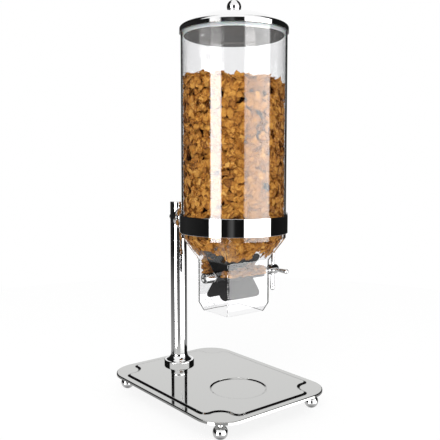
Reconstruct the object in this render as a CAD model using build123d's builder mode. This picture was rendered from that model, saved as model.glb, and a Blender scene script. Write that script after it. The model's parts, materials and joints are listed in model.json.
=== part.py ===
from build123d import *
import math
import os

# Countertop cereal dispenser: a clear canister hangs in a polished ring beside a
# tube column, over a pressed plate on four ball feet. A silicone paddle wheel in
# the square throat below the canister is turned by a cross handle on its right.
# Millimetres, +Z up. The origin is on the table under the middle of the plate,
# the chute and the bowl place face -Y, the column stands at +Y, the handle is at +X.

# Pressed base plate
plate_width = 233.0
plate_depth = 302.0
plate_corner = 45.0
plate_rim_top = 31.0
plate_sheet = 2.0
plate_lip_drop = 4.0
plate_edge_round = 1.4
step_inset = 14.0
step_rise = 1.5
step_edge_round = 0.6
step_notch_radius = 22.0
step_shoulder_round = 9.0
recess_diameter = 89.0
recess_depth = 1.5
recess_front = 57.0

# Ball feet, each on a stud under the plate
foot_diameter = 21.3
foot_flat = 4.0
foot_neck_diameter = 9.0
foot_inset_x = 25.6
foot_inset_y = 24.8
foot_stud_diameter = 5.0
foot_stud_reach = 14.0

# Column
column_diameter = 28.0
column_wall = 1.5
column_inset = 47.4
column_rise = 13.6
cap_thickness = 2.5
cap_round = 1.0
cap_spigot = 10.0
collar_diameter = 52.0
collar_flange = 6.5
collar_height = 19.5
collar_lip = 2.0
collar_round = 1.5
plug_height = 22.0
column_bolt_diameter = 8.0
column_bolt_reach = 18.0
column_washer_diameter = 22.0
column_washer_thickness = 1.5
bolt_head_width = 13.0
bolt_head_height = 5.0

# Canister, made of a clear tube and a clear hopper below it
canister_diameter = 160.0
canister_wall = 2.5
canister_front = 44.9
canister_bottom = 268.0
canister_height = 305.0
canister_flange_width = 2.5
canister_flange_thickness = 3.0
spigot_height = 7.0
spigot_wall = 1.8

# Hopper and square throat
throat_side = 78.0
throat_corner = 8.5
funnel_height = 36.0
throat_height = 66.0
chute_taper = 5.7
chute_corner = 7.0
chute_height = 13.0

# Holder ring and the turned arm that carries it
ring_height = 26.6
ring_wall = 2.4
ring_round = 0.5
arm_neck_diameter = 13.0
arm_ring_diameter = 20.0
arm_flange_diameter = 38.0
arm_flange_thickness = 2.5
arm_bolt_diameter = 6.0
arm_bolt_reach = 24.0
arm_bolt_head_diameter = 13.0
arm_bolt_head_height = 4.5
arm_washer_diameter = 15.0
arm_washer_thickness = 1.2

# Paddle wheel and its shaft
shaft_drop = 23.0
shaft_diameter = 8.0
core_diameter = 18.0
core_end_gap = 6.5
vane_count = 6
vane_tip_gap = 1.3
vane_side_gap = 3.5
vane_root_inset = 3.0
vane_thickness = 2.4
vane_corner = 7.0
vane_slot_depth = 2.5
bush_diameter = 11.0
bush_flange_diameter = 15.0
bush_flange_thickness = 2.0

# Handle on the right, knob on the left
handle_standoff = 44.0
handle_hub_diameter = 16.0
handle_hub_behind = 7.0
handle_hub_ahead = 10.0
handle_dome = 6.0
handle_sleeve_diameter = 11.0
handle_arm_count = 4
handle_tip_reach = 34.8
handle_tip_diameter = 7.6
handle_root_diameter = 4.4
handle_socket_wall = 0.8
knob_diameter = 16.0
knob_length = 16.0
knob_round = 1.2
knob_dish_diameter = 11.0
knob_dish_depth = 1.5
knob_button_diameter = 4.0
knob_bore_depth = 11.0

# Lid
lid_band_width = 1.8
lid_band_height = 8.0
lid_crown_rise = 23.0
lid_shoulder_round = 4.0
lid_sheet = 1.2
lid_pan_side_gap = 2.5
lid_pan_depth = 5.5
lid_pan_step_diameter = 96.0
lid_pan_step_width = 5.0
lid_pan_step_rise = 1.4
lid_ball_diameter = 21.5
lid_seat_diameter = 14.0
lid_screw_diameter = 4.0
lid_screw_reach = 12.0
lid_screw_head_diameter = 8.0
lid_screw_head_height = 2.4
seal_height = 4.6
seal_base = 1.2
seal_fin_count = 3

# Cereal inside
cereal_headroom = 65.0

# Clearances
press_gap = 0.05
running_gap = 0.06
loose_gap = 0.3
end_gap = 0.2
sweep_gap = 2.0

# Worked-out places
plateau_top = plate_rim_top + step_rise
rim_underside = plate_rim_top - plate_sheet
plateau_underside = plateau_top - plate_sheet
foot_radius = foot_diameter / 2
foot_centre = math.sqrt(foot_radius**2 - (foot_flat / 2) ** 2)
foot_x = plate_width / 2 - foot_inset_x
foot_y = plate_depth / 2 - foot_inset_y
column_radius = column_diameter / 2
column_back = plate_depth / 2 - column_inset
canister_radius = canister_diameter / 2
canister_bore = canister_radius - canister_wall
canister_top = canister_bottom + canister_height
ring_bore = canister_radius + loose_gap
ring_radius = ring_bore + ring_wall
ring_top = canister_bottom + spigot_height + ring_height + loose_gap
ring_middle = ring_top - ring_height / 2
column_top = ring_top + column_rise
throat_top = canister_bottom - funnel_height
throat_bottom = throat_top - throat_height
chute_bottom = throat_bottom - chute_height
chute_side = throat_side - 2 * chute_taper
wall_x = throat_side / 2
throat_bore = wall_x - canister_wall
shaft_radius = shaft_diameter / 2
shaft_height = throat_top - shaft_drop
core_length = 2 * (throat_bore - core_end_gap)
vane_reach = throat_bore - vane_tip_gap
vane_width = 2 * (throat_bore - vane_side_gap)
vane_root_width = core_length - 2 * vane_root_inset
handle_reach_x = wall_x + handle_standoff
cereal_top = canister_top - cereal_headroom
canister_axis = Axis((0, -canister_front, 0), (0, 0, 1))
canister_plane = Plane.XY.move(Location((0, -canister_front, 0)))
column_plane = Plane.XY.move(Location((0, column_back, 0)))
shaft_plane = Plane(origin=(0, -canister_front, shaft_height), x_dir=(0, 1, 0), z_dir=(1, 0, 0))
arm_axis = Axis((0, 0, ring_middle), (0, 1, 0))

os.makedirs("parts", exist_ok=True)


def save(builder, name):
    """Label one finished piece and write it to its own file."""
    builder.part.label = name
    export_step(builder.part, f"parts/{name}.step")


# Base plate: rounded tray with a raised middle, notched round each foot
with BuildPart() as base_plate:
    lip_bottom = plate_rim_top - plate_lip_drop
    with BuildSketch(Plane.XY.offset(lip_bottom)):
        RectangleRounded(plate_width, plate_depth, plate_corner)
    extrude(amount=plate_lip_drop)
    fillet(base_plate.edges().group_by(Axis.Z)[-1], plate_edge_round)
    inner_width = plate_width - 2 * plate_sheet
    inner_depth = plate_depth - 2 * plate_sheet
    with BuildSketch(Plane.XY.offset(lip_bottom)):
        RectangleRounded(inner_width, inner_depth, plate_corner - plate_sheet)
    extrude(amount=plate_lip_drop - plate_sheet, mode=Mode.SUBTRACT)
    with BuildSketch(Plane.XY.offset(plate_rim_top)) as plateau_outline:
        Rectangle(plate_width - 2 * step_inset, plate_depth - 2 * step_inset)
        with Locations(*[(sx * foot_x, sy * foot_y) for sx in (-1, 1) for sy in (-1, 1)]):
            Circle(step_notch_radius, mode=Mode.SUBTRACT)
        fillet(plateau_outline.vertices(), step_shoulder_round)
    extrude(amount=step_rise)
    fillet(base_plate.edges().group_by(Axis.Z)[-1], step_edge_round)
    with BuildSketch(Plane.XY.offset(rim_underside)):
        offset(plateau_outline.sketch, amount=-plate_sheet)
    extrude(amount=step_rise, mode=Mode.SUBTRACT)
    # round recess that the bowl stands in, pressed down from the raised middle
    with BuildSketch(Plane.XY.offset(plateau_underside - recess_depth)):
        with Locations((0, -recess_front)):
            Circle(recess_diameter / 2 + plate_sheet)
    extrude(amount=recess_depth)
    with BuildSketch(Plane.XY.offset(plateau_top - recess_depth)):
        with Locations((0, -recess_front)):
            Circle(recess_diameter / 2)
    extrude(amount=recess_depth, mode=Mode.SUBTRACT)
    with Locations((0, column_back, plateau_top)):
        Hole(column_bolt_diameter / 2 + press_gap)
save(base_plate, "base_plate")

# Ball feet with their welded studs
foot_places = {
    "front_left": (-foot_x, -foot_y),
    "front_right": (foot_x, -foot_y),
    "back_left": (-foot_x, foot_y),
    "back_right": (foot_x, foot_y),
}
for place, (x, y) in foot_places.items():
    with BuildPart() as foot:
        with Locations((x, y, foot_centre)):
            Sphere(foot_radius)
        with BuildSketch(Plane.XY.offset(foot_centre)):
            with Locations((x, y)):
                Circle(foot_neck_diameter / 2)
        extrude(amount=rim_underside - foot_centre)
        split(bisect_by=Plane.XY, keep=Keep.TOP)
        with Locations((x, y, rim_underside)):
            Hole(foot_stud_diameter / 2 + press_gap, foot_stud_reach + press_gap)
    save(foot, f"foot_{place}")

    with BuildPart() as foot_stud:
        with BuildSketch(Plane.XY.offset(rim_underside - foot_stud_reach)):
            with Locations((x, y)):
                Circle(foot_stud_diameter / 2)
        extrude(amount=foot_stud_reach)
    save(foot_stud, f"foot_stud_{place}")

# Column tube with a cross hole for the arm bolt
with BuildPart() as column_tube:
    with BuildSketch(column_plane.offset(plateau_top)):
        Circle(column_radius)
        Circle(column_radius - column_wall, mode=Mode.SUBTRACT)
    extrude(amount=column_top - cap_thickness - plateau_top)
    with BuildSketch(Plane.XZ.offset(-column_back - column_diameter)):
        with Locations((0, ring_middle)):
            Circle(arm_bolt_diameter / 2 + press_gap)
    extrude(amount=2 * column_diameter, mode=Mode.SUBTRACT)
save(column_tube, "column_tube")

plug_radius = column_radius - column_wall - press_gap
with BuildPart() as column_plug:
    with BuildSketch(column_plane.offset(plateau_top)):
        Circle(plug_radius)
        Circle(column_bolt_diameter / 2 + press_gap, mode=Mode.SUBTRACT)
    extrude(amount=plug_height)
save(column_plug, "column_plug")

with BuildPart() as column_cap:
    with BuildSketch(column_plane.offset(column_top - cap_thickness)):
        Circle(column_radius)
    extrude(amount=cap_thickness)
    fillet(column_cap.edges().group_by(Axis.Z)[-1], cap_round)
    with BuildSketch(column_plane.offset(column_top - cap_thickness)):
        Circle(plug_radius)
    extrude(amount=-cap_spigot)
save(column_cap, "column_cap")

# Spun collar that hides the foot of the column
with BuildPart() as column_collar:
    collar_bore = column_radius + press_gap
    cove = collar_height - collar_flange
    with BuildSketch(Plane.YZ):
        with BuildLine():
            Polyline(
                (column_back + collar_bore, plateau_top + collar_height),
                (column_back + collar_bore, plateau_top),
                (column_back + collar_diameter / 2, plateau_top),
                (column_back + collar_diameter / 2, plateau_top + collar_flange),
                (column_back + column_radius + collar_lip + cove / 2, plateau_top + collar_flange),
            )
            ThreePointArc(
                (column_back + column_radius + collar_lip + cove / 2, plateau_top + collar_flange),
                (
                    column_back + column_radius + collar_lip / 2 + cove / 2 * (1 - math.sqrt(0.5)),
                    plateau_top + collar_flange + cove * (1 - math.sqrt(0.5)),
                ),
                (column_back + collar_bore + collar_lip / 4, plateau_top + collar_height),
            )
            Line(
                (column_back + collar_bore + collar_lip / 4, plateau_top + collar_height),
                (column_back + collar_bore, plateau_top + collar_height),
            )
        make_face()
    revolve(axis=Axis((0, column_back, 0), (0, 0, 1)))
    collar_rim = column_collar.edges().filter_by(GeomType.CIRCLE).sort_by(SortBy.RADIUS)[-2:]
    fillet(collar_rim.sort_by(Axis.Z)[-1], collar_round)
save(column_collar, "column_collar")

with BuildPart() as column_washer:
    with BuildSketch(column_plane.offset(plateau_underside)):
        Circle(column_washer_diameter / 2)
        Circle(column_bolt_diameter / 2 + press_gap, mode=Mode.SUBTRACT)
    extrude(amount=-column_washer_thickness)
save(column_washer, "column_washer")

with BuildPart() as column_bolt:
    bolt_seat = plateau_underside - column_washer_thickness
    with BuildSketch(column_plane.offset(bolt_seat)):
        RegularPolygon(bolt_head_width / 2, 6, major_radius=False)
    extrude(amount=-bolt_head_height)
    with BuildSketch(column_plane.offset(bolt_seat)):
        Circle(column_bolt_diameter / 2)
    extrude(amount=plateau_top + column_bolt_reach - bolt_seat)
save(column_bolt, "column_bolt")

# Polished band that the canister hangs in
with BuildPart() as holder_ring:
    with BuildSketch(canister_plane.offset(ring_top - ring_height)):
        Circle(ring_radius)
        Circle(ring_bore, mode=Mode.SUBTRACT)
    extrude(amount=ring_height)
    fillet(holder_ring.edges().filter_by(GeomType.CIRCLE).sort_by(SortBy.RADIUS)[-2:], ring_round)
save(holder_ring, "holder_ring")

# Turned arm: wide flange on the column, slim neck, small flare on the ring
arm_front = ring_radius - canister_front
arm_back = column_back - column_radius + arm_flange_thickness
flange_front = arm_back - 2 * arm_flange_thickness
flange_sweep = (arm_flange_diameter - arm_neck_diameter) / 2
ring_sweep = (arm_ring_diameter - arm_neck_diameter) / 2
with BuildPart() as bracket_arm:
    with BuildSketch(Plane.XY.offset(ring_middle)):
        with BuildLine():
            Polyline(
                (0, arm_front - arm_flange_thickness),
                (arm_ring_diameter / 2, arm_front - arm_flange_thickness),
                (arm_ring_diameter / 2, arm_front + arm_flange_thickness),
            )
            RadiusArc(
                (arm_ring_diameter / 2, arm_front + arm_flange_thickness),
                (arm_neck_diameter / 2, arm_front + arm_flange_thickness + ring_sweep),
                ring_sweep,
            )
            Line(
                (arm_neck_diameter / 2, arm_front + arm_flange_thickness + ring_sweep),
                (arm_neck_diameter / 2, flange_front - flange_sweep),
            )
            RadiusArc(
                (arm_neck_diameter / 2, flange_front - flange_sweep),
                (arm_flange_diameter / 2, flange_front),
                flange_sweep,
            )
            Polyline(
                (arm_flange_diameter / 2, flange_front),
                (arm_flange_diameter / 2, arm_back),
                (0, arm_back),
                (0, arm_front - arm_flange_thickness),
            )
        make_face()
    revolve(axis=arm_axis)
    with BuildSketch(canister_plane.offset(ring_middle - arm_flange_diameter)):
        Circle(ring_radius)
    extrude(amount=2 * arm_flange_diameter, mode=Mode.SUBTRACT)
    with BuildSketch(column_plane.offset(ring_middle - arm_flange_diameter)):
        Circle(column_radius)
    extrude(amount=2 * arm_flange_diameter, mode=Mode.SUBTRACT)
    with BuildSketch(Plane.XZ.offset(-column_back)):
        with Locations((0, ring_middle)):
            Circle(arm_bolt_diameter / 2 + press_gap)
    extrude(amount=column_radius + arm_bolt_reach, mode=Mode.SUBTRACT)
save(bracket_arm, "bracket_arm")

washer_back = column_back + column_radius + arm_washer_thickness
with BuildPart() as bracket_washer:
    with BuildSketch(Plane.XZ.offset(-washer_back)):
        with Locations((0, ring_middle)):
            Circle(arm_washer_diameter / 2)
            Circle(arm_bolt_diameter / 2 + press_gap, mode=Mode.SUBTRACT)
    extrude(amount=washer_back - column_back)
    with BuildSketch(column_plane.offset(ring_middle - column_radius)):
        Circle(column_radius)
    extrude(amount=column_diameter, mode=Mode.SUBTRACT)
save(bracket_washer, "bracket_washer")

with BuildPart() as bracket_bolt:
    with BuildSketch(Plane.XZ.offset(-washer_back)):
        with Locations((0, ring_middle)):
            Circle(arm_bolt_head_diameter / 2)
    extrude(amount=-arm_bolt_head_height)
    fillet(bracket_bolt.edges().group_by(Axis.Y)[-1], arm_bolt_head_height / 2)
    with BuildSketch(Plane.XZ.offset(-washer_back)):
        with Locations((0, ring_middle)):
            Circle(arm_bolt_diameter / 2)
    extrude(amount=washer_back - column_back + column_radius + arm_bolt_reach - press_gap)
save(bracket_bolt, "bracket_bolt")

# Clear canister tube, with the flange that rests on the ring
with BuildPart() as canister_tube:
    with BuildSketch(canister_plane.offset(canister_bottom)):
        Circle(canister_radius)
    extrude(amount=canister_top - canister_bottom)
    with BuildSketch(canister_plane.offset(ring_top)):
        Circle(canister_radius + canister_flange_width)
    extrude(amount=canister_flange_thickness)
    with BuildSketch(canister_plane.offset(canister_bottom)):
        Circle(canister_bore)
    extrude(amount=canister_top - canister_bottom, mode=Mode.SUBTRACT)
save(canister_tube, "canister_tube")


def hopper_form(round_radius, inset):
    """Round at the top, square throat in the middle, tapered chute below."""
    side = throat_side - 2 * inset
    outlet = chute_side - 2 * inset
    with BuildPart() as form:
        with BuildSketch(canister_plane.offset(canister_bottom)):
            Circle(round_radius)
        with BuildSketch(canister_plane.offset(throat_top)):
            RectangleRounded(side, side, throat_corner - inset)
        loft()
        with BuildSketch(canister_plane.offset(throat_bottom)):
            RectangleRounded(side, side, throat_corner - inset)
        extrude(amount=throat_top - throat_bottom)
        with BuildSketch(canister_plane.offset(throat_bottom)):
            RectangleRounded(side, side, throat_corner - inset)
        with BuildSketch(canister_plane.offset(chute_bottom)):
            RectangleRounded(outlet, outlet, chute_corner - inset)
        loft()
    return form.part


spigot_radius = canister_bore - press_gap
spigot_bore = spigot_radius - spigot_wall
hopper_outside = hopper_form(canister_radius, 0)
hopper_inside = hopper_form(spigot_bore, canister_wall)
with BuildPart() as hopper:
    add(hopper_outside)
    with BuildSketch(canister_plane.offset(canister_bottom)):
        Circle(spigot_radius)
    extrude(amount=spigot_height)
    add(hopper_inside, mode=Mode.SUBTRACT)
    with BuildSketch(canister_plane.offset(canister_bottom)):
        Circle(spigot_bore)
    extrude(amount=spigot_height, mode=Mode.SUBTRACT)
    with BuildSketch(shaft_plane.offset(-throat_side)):
        Circle(bush_diameter / 2 + press_gap)
    extrude(amount=2 * throat_side, mode=Mode.SUBTRACT)
save(hopper, "hopper")

# Flanged bushes in both walls of the throat
for side_name, side in (("left", -1), ("right", 1)):
    with BuildPart() as bush:
        with BuildSketch(shaft_plane.offset(side * wall_x)):
            Circle(bush_flange_diameter / 2)
        extrude(amount=side * bush_flange_thickness)
        with BuildSketch(shaft_plane.offset(side * wall_x)):
            Circle(bush_diameter / 2)
        extrude(amount=-side * canister_wall)
        with BuildSketch(shaft_plane.offset(side * (wall_x - canister_wall))):
            Circle(shaft_radius + running_gap)
        extrude(amount=side * (canister_wall + bush_flange_thickness), mode=Mode.SUBTRACT)
    save(bush, f"shaft_bush_{side_name}")

# Cereal that fills the canister down to just above the paddle wheel
cereal_bottom = shaft_height + vane_reach + sweep_gap
cereal_form = hopper_form(spigot_bore - loose_gap, canister_wall + loose_gap)
with BuildPart() as cereal_fill:
    add(cereal_form)
    with BuildSketch(canister_plane.offset(canister_bottom)):
        Circle(spigot_bore - loose_gap)
    extrude(amount=spigot_height + loose_gap)
    with BuildSketch(canister_plane.offset(canister_bottom + spigot_height + loose_gap)):
        Circle(canister_bore - loose_gap)
    extrude(amount=cereal_top - canister_bottom - spigot_height - loose_gap)
    split(bisect_by=Plane.XY.offset(cereal_bottom), keep=Keep.TOP)
save(cereal_fill, "cereal_fill")

# Steel shaft from the left knob to the handle hub
bush_face = wall_x + bush_flange_thickness + end_gap
hub_back = handle_reach_x - handle_hub_behind
shaft_left = bush_face + knob_bore_depth
with BuildPart() as drive_shaft:
    with BuildSketch(shaft_plane.offset(-shaft_left)):
        Circle(shaft_radius)
    extrude(amount=shaft_left + handle_reach_x)
save(drive_shaft, "drive_shaft")

# Silicone core with a slot for each vane
core_radius = core_diameter / 2
vane_root = core_radius - vane_slot_depth
with BuildPart() as rotor_core:
    with BuildSketch(shaft_plane.offset(-core_length / 2)):
        Circle(core_radius)
        Circle(shaft_radius + press_gap, mode=Mode.SUBTRACT)
        with PolarLocations(vane_root + core_radius / 2, vane_count):
            Rectangle(core_radius, vane_thickness, mode=Mode.SUBTRACT)
    extrude(amount=core_length)
save(rotor_core, "rotor_core")

for number in range(vane_count):
    turn = number * 360 / vane_count
    vane_plane = Plane(
        origin=(0, -canister_front, shaft_height),
        x_dir=(1, 0, 0),
        z_dir=(0, -math.sin(math.radians(turn)), math.cos(math.radians(turn))),
    )
    with BuildPart() as vane:
        with BuildSketch(vane_plane.offset(-vane_thickness / 2)) as vane_outline:
            with BuildLine():
                Polyline(
                    (-vane_root_width / 2, vane_root),
                    (vane_root_width / 2, vane_root),
                    (vane_width / 2, vane_reach),
                    (-vane_width / 2, vane_reach),
                    close=True,
                )
            make_face()
            fillet(vane_outline.vertices().group_by(SortBy.DISTANCE)[-1], vane_corner)
        extrude(amount=vane_thickness)
    save(vane, f"vane_{number + 1}")

# Handle: sleeve over the shaft, domed hub, four teardrop arms
with BuildPart() as handle_sleeve:
    with BuildSketch(shaft_plane.offset(bush_face)):
        Circle(handle_sleeve_diameter / 2)
        Circle(shaft_radius + press_gap, mode=Mode.SUBTRACT)
    extrude(amount=hub_back - bush_face)
save(handle_sleeve, "handle_sleeve")

hub_radius = handle_hub_diameter / 2
arm_root = shaft_radius + press_gap + handle_socket_wall
tip_radius = handle_tip_diameter / 2
tip_centre = handle_tip_reach - tip_radius


def handle_arm_form(turn, growth):
    """A teardrop that points out from the hub, thin at the root, round at the tip."""
    outward = (0, -math.cos(math.radians(turn)), -math.sin(math.radians(turn)))
    arm_origin = (handle_reach_x, -canister_front, shaft_height)
    root_half = handle_root_diameter / 2 + growth
    tip_half = tip_radius + growth
    with BuildPart() as form:
        with BuildSketch(Plane(origin=arm_origin, x_dir=outward, z_dir=(1, 0, 0))):
            with BuildLine():
                Polyline(
                    (tip_centre + tip_half, 0),
                    (arm_root, 0),
                    (arm_root, root_half),
                    (tip_centre, tip_half),
                )
                ThreePointArc(
                    (tip_centre, tip_half),
                    (tip_centre + tip_half * math.sqrt(0.5), tip_half * math.sqrt(0.5)),
                    (tip_centre + tip_half, 0),
                )
            make_face()
        revolve(axis=Axis(arm_origin, outward))
    return form.part


arm_turns = [number * 360 / handle_arm_count for number in range(handle_arm_count)]
with BuildPart() as handle_hub:
    with BuildSketch(shaft_plane.offset(hub_back)):
        Circle(hub_radius)
    extrude(amount=handle_hub_behind + handle_hub_ahead)
    fillet(handle_hub.edges().group_by(Axis.X)[-1], handle_dome)
    with BuildSketch(shaft_plane.offset(hub_back)):
        Circle(shaft_radius + press_gap)
    extrude(amount=handle_hub_behind + press_gap, mode=Mode.SUBTRACT)
    for turn in arm_turns:
        add(handle_arm_form(turn, press_gap), mode=Mode.SUBTRACT)
save(handle_hub, "handle_hub")

for number, turn in enumerate(arm_turns):
    with BuildPart() as handle_arm:
        add(handle_arm_form(turn, 0))
    save(handle_arm, f"handle_arm_{number + 1}")

# Knob that holds the shaft on the left
with BuildPart() as retaining_knob:
    with BuildSketch(shaft_plane.offset(-bush_face)):
        Circle(knob_diameter / 2)
    extrude(amount=-knob_length)
    fillet(retaining_knob.edges().filter_by(GeomType.CIRCLE), knob_round)
    with BuildSketch(shaft_plane.offset(-bush_face - knob_length)):
        Circle(knob_dish_diameter / 2)
        Circle(knob_button_diameter / 2, mode=Mode.SUBTRACT)
    extrude(amount=knob_dish_depth, mode=Mode.SUBTRACT)
    with BuildSketch(shaft_plane.offset(-bush_face)):
        Circle(shaft_radius + press_gap)
    extrude(amount=-knob_bore_depth, mode=Mode.SUBTRACT)
save(retaining_knob, "retaining_knob")

# Lid: domed cover on a flat pan that plugs the canister, with a seal and a ball knob
lid_plane = Plane(origin=(0, -canister_front, 0), x_dir=(1, 0, 0), z_dir=(0, -1, 0))
band_radius = canister_radius + lid_band_width
band_top = canister_top + lid_band_height
crown_radius = (band_radius**2 + lid_crown_rise**2) / (2 * lid_crown_rise)
crown_centre = band_top + lid_crown_rise - crown_radius
seat_radius = lid_seat_diameter / 2
pan_radius = canister_bore - lid_pan_side_gap
pan_bottom = canister_top - lid_pan_depth
lid_base = canister_top + lid_sheet


def crown_point(radius, inset):
    """A point of the domed cover, a sheet thickness inside it when inset."""
    return (radius, crown_centre + math.sqrt((crown_radius - inset) ** 2 - radius**2))


def dome_form(inset):
    """Solid under the cover's outer or inner face."""
    rim = band_radius - inset
    with BuildPart() as form:
        with BuildSketch(lid_plane):
            with BuildLine():
                Polyline(
                    (0, crown_point(seat_radius, inset)[1]),
                    (0, lid_base),
                    (rim, lid_base),
                    crown_point(rim, inset),
                )
                ThreePointArc(
                    crown_point(rim, inset),
                    crown_point((rim + seat_radius) / 2, inset),
                    crown_point(seat_radius, inset),
                )
                Line(crown_point(seat_radius, inset), (0, crown_point(seat_radius, inset)[1]))
            make_face()
        revolve(axis=canister_axis)
        base_edge, rim_edge, seat_edge = form.edges().filter_by(lambda edge: edge.is_closed).sort_by(Axis.Z)
        fillet(rim_edge, lid_shoulder_round - inset)
    return form.part


with BuildPart() as lid_dome:
    add(dome_form(0))
    add(dome_form(lid_sheet), mode=Mode.SUBTRACT)
    with BuildSketch(canister_plane.offset(lid_base)):
        Circle(lid_screw_diameter / 2 + press_gap)
    extrude(amount=lid_band_height + lid_crown_rise, mode=Mode.SUBTRACT)
save(lid_dome, "lid_dome")

with BuildPart() as lid_pan:
    step_inner = (lid_pan_step_diameter - lid_pan_step_width) / 2
    step_outer = (lid_pan_step_diameter + lid_pan_step_width) / 2
    with BuildSketch(lid_plane):
        with BuildLine():
            Polyline(
                (0, pan_bottom + lid_pan_step_rise),
                (step_inner, pan_bottom + lid_pan_step_rise),
                (step_outer, pan_bottom),
                (pan_radius, pan_bottom),
                (pan_radius, canister_top),
                (band_radius, canister_top),
                (band_radius, lid_base),
                (pan_radius - lid_sheet, lid_base),
                (pan_radius - lid_sheet, pan_bottom + lid_sheet),
                (step_outer, pan_bottom + lid_sheet),
                (step_inner, pan_bottom + lid_pan_step_rise + lid_sheet),
                (0, pan_bottom + lid_pan_step_rise + lid_sheet),
                close=True,
            )
        make_face()
    revolve(axis=canister_axis)
save(lid_pan, "lid_pan")

# Seal with small fins, clear of the canister bore
with BuildPart() as lid_seal:
    seal_inside = pan_radius + press_gap
    seal_root = seal_inside + seal_base
    fin_tip = canister_bore - loose_gap
    fin_pitch = seal_height / seal_fin_count
    fin_points = []
    for number in range(seal_fin_count):
        fin_top = canister_top - number * fin_pitch
        fin_points += [
            (fin_tip, fin_top),
            (fin_tip, fin_top - fin_pitch / 3),
            (seal_root, fin_top - fin_pitch / 2),
            (seal_root, fin_top - fin_pitch),
        ]
    with BuildSketch(lid_plane):
        with BuildLine():
            Polyline(
                (seal_inside, canister_top - seal_height),
                (seal_inside, canister_top),
                *fin_points,
                close=True,
            )
        make_face()
    revolve(axis=canister_axis)
save(lid_seal, "lid_seal")

knob_seat = crown_point(seat_radius, 0)[1]
lid_ball_radius = lid_ball_diameter / 2
with BuildPart() as lid_knob:
    with Locations((0, -canister_front, knob_seat + math.sqrt(lid_ball_radius**2 - seat_radius**2))):
        Sphere(lid_ball_radius)
    split(bisect_by=Plane.XY.offset(knob_seat), keep=Keep.TOP)
    with BuildSketch(canister_plane.offset(knob_seat)):
        Circle(lid_screw_diameter / 2 + press_gap)
    extrude(amount=lid_screw_reach + press_gap, mode=Mode.SUBTRACT)
save(lid_knob, "lid_knob")

with BuildPart() as lid_screw:
    screw_seat = crown_point(seat_radius, lid_sheet)[1]
    with BuildSketch(canister_plane.offset(screw_seat)):
        Circle(lid_screw_head_diameter / 2)
    extrude(amount=-lid_screw_head_height)
    with BuildSketch(canister_plane.offset(screw_seat)):
        Circle(lid_screw_diameter / 2)
    extrude(amount=knob_seat - screw_seat + lid_screw_reach)
save(lid_screw, "lid_screw")
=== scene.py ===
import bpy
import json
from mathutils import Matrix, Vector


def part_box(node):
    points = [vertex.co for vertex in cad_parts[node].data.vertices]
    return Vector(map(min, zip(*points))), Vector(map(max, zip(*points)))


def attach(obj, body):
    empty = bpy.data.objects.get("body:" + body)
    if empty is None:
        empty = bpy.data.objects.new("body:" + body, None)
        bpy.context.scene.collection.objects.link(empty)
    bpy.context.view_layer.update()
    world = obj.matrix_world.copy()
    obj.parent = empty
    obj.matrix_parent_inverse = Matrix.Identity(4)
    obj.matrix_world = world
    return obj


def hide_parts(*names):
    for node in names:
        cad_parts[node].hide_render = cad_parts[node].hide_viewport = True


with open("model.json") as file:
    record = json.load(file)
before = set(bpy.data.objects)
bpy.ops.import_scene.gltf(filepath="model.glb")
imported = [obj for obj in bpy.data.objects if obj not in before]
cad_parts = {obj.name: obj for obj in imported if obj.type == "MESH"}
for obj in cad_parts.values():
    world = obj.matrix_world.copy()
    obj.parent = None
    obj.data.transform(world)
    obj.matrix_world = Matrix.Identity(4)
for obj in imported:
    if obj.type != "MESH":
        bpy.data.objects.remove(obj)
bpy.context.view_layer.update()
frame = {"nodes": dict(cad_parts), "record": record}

import json
import math

import bpy
import numpy as np
from mathutils import Matrix, Vector

# Looks of a countertop cereal dispenser: polished chrome stand, clear canister full
# of toasted flakes, black silicone paddle wheel. Metres, in the frame of the model.

NODES = frame["nodes"]
RANDOM_SEED = 7

# Camera solved from the photograph, for a square picture
CAMERA_PLACE = Vector((-0.6003, -0.7651, 0.3763))
CAMERA_AHEAD = Vector((0.6206, 0.7792, -0.0879)).normalized()
CAMERA_LENS = 50.16
SENSOR_WIDTH = 36.0
CLIP_START = 0.01

# Floor and key lamp
FLOOR_RADIUS = 1.1
FLOOR_SIDES = 96
FLOOR_WHITE_SHARE = 0.86
KEY_PLACE = (-0.9, -0.9, 1.5)
KEY_TARGET = (0, 0, 0.25)
KEY_SIZE = (1.0, 1.0)
KEY_POWER = 14

# Places worked out from the frame
HOPPER_LOW, HOPPER_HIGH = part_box("hopper")
SHAFT_LOW, SHAFT_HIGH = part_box("drive_shaft")
CEREAL_LOW, CEREAL_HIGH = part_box("cereal_fill")
PLATE_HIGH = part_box("base_plate")[1]
AXIS_Y = (HOPPER_LOW.y + HOPPER_HIGH.y) / 2
SHAFT_Z = (SHAFT_LOW.z + SHAFT_HIGH.z) / 2
CANISTER_BORE = (CEREAL_HIGH.x - CEREAL_LOW.x) / 2
FUNNEL_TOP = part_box("canister_tube")[0].z
FUNNEL_BORE = 0.0753

# Moulded hopper: half widths across and front to back, and corner rounds
WALL = 0.0025
THROAT_HALF = (0.0411, 0.0375)
THROAT_ROUND = 0.0032
THROAT_TOP = 0.232
THROAT_BOTTOM = 0.166
CHUTE_HALF = (0.0366, 0.0316)
CHUTE_ROUND = 0.0045
SPIGOT_RADIUS = 0.07745
SPIGOT_BORE = 0.07565
SPIGOT_RISE = 0.008
FUNNEL_STEPS = 10
FUNNEL_EASE = 0.1
FUNNEL_OVERHANG = 0.0003
CORNER_STEPS = 6
LEAST_ROUND = 0.0012
CORNER_CUT = 0.001
SHARP_ANGLE = 28
BUSH_HOLE = 0.00555
BUSH_SIDES = 32
BUSH_REACH = 0.06

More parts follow.
